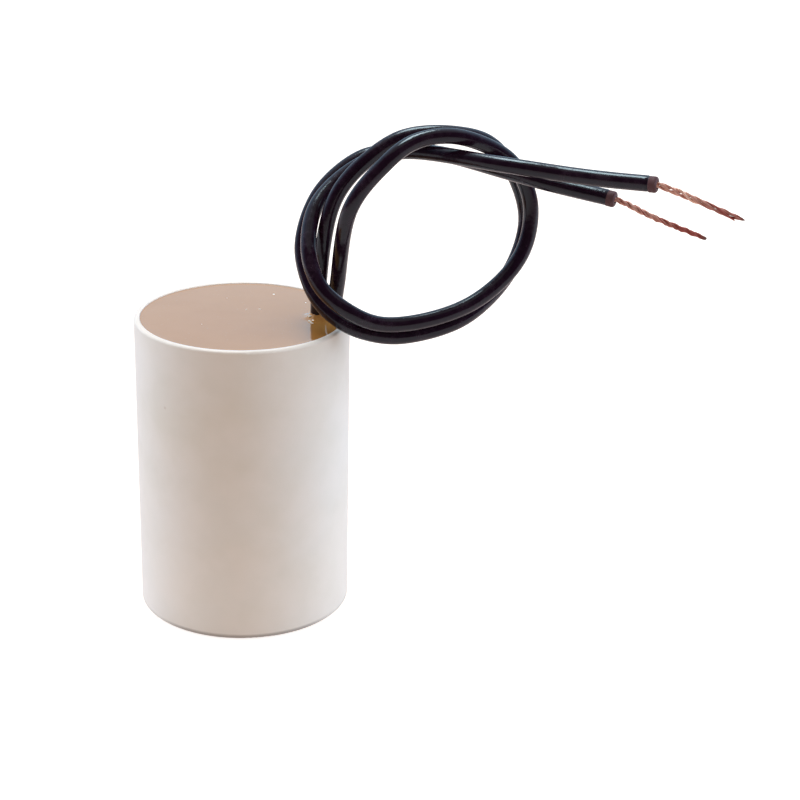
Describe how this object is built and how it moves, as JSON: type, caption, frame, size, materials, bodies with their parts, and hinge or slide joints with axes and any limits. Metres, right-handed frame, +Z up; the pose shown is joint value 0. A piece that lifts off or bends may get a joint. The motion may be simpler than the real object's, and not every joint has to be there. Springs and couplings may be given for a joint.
{
  "type": "motor run capacitor",
  "caption": "Film capacitor potted in a round plastic can that is open at its top, its insulated leads tied together in a loose overhand knot and bared at their ends.",
  "frame": {"origin": "middle of the can's underside", "axes": "+Z up along the can's axis to its open, potted end; +X towards the side where the leads leave the resin; +Y away from the side to which the loop of the leads leans"},
  "size_m": [0.0925, 0.043, 0.0823],
  "materials": {
    "can": "satin moulded plastic, warm white",
    "resin": "glossy cast resin, amber brown, with small bubbles",
    "film": "wound metallised film",
    "core": "extruded plastic tube",
    "tape": "clear film tape",
    "zinc": "matte sprayed zinc",
    "solder": "bright solder",
    "insulation": "glossy soft insulation, black",
    "copper": "bare stranded copper, slightly dulled"
  },
  "bodies": {
    "root": {"can": "can", "potting_resin": "resin", "film_roll": "film", "core_tube": "core", "tape_wrap": "tape", "upper_end_spray": "zinc", "lower_end_spray": "zinc", "upper_solder_joint": "solder", "lower_solder_joint": "solder", "long_lead_insulation": "insulation", "long_lead_conductor": "copper", "short_lead_insulation": "insulation", "short_lead_conductor": "copper"}
  },
  "joints": []
}
